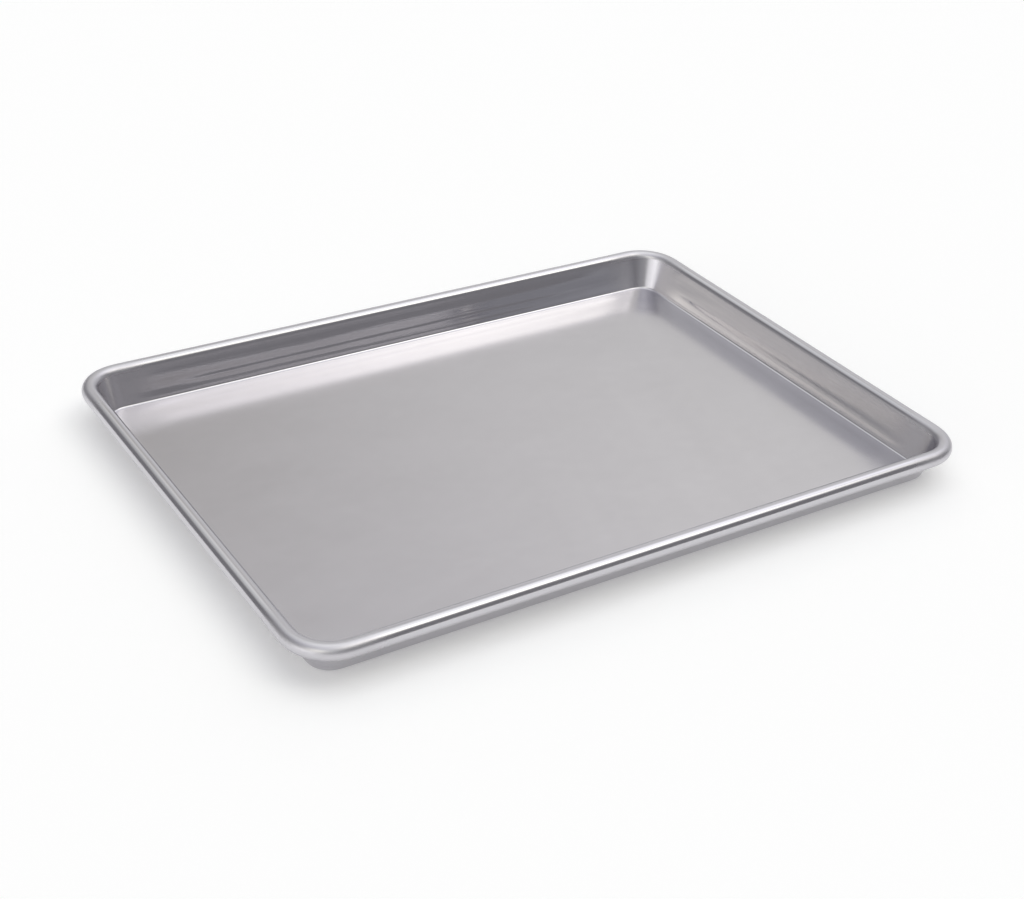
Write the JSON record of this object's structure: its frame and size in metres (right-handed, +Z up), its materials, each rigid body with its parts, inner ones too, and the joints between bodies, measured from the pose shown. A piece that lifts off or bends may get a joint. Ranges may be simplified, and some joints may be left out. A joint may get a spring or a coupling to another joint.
{
  "type": "jelly roll pan",
  "caption": "Shallow oblong metal baking tray with flared walls, rounded corners and a rim rolled into a round bead over a stiffening wire.",
  "frame": {"origin": "centre of the flat underside", "axes": "+X along the long side, +Y across the pan, +Z up out of the tray"},
  "size_m": [0.455, 0.333, 0.0263],
  "materials": {
    "pan_sheet": "satin, drawn and lightly brushed",
    "rim_wire": "zinc coated"
  },
  "bodies": {
    "root": {"pan_sheet": "pan_sheet", "rim_wire": "rim_wire"}
  },
  "joints": []
}
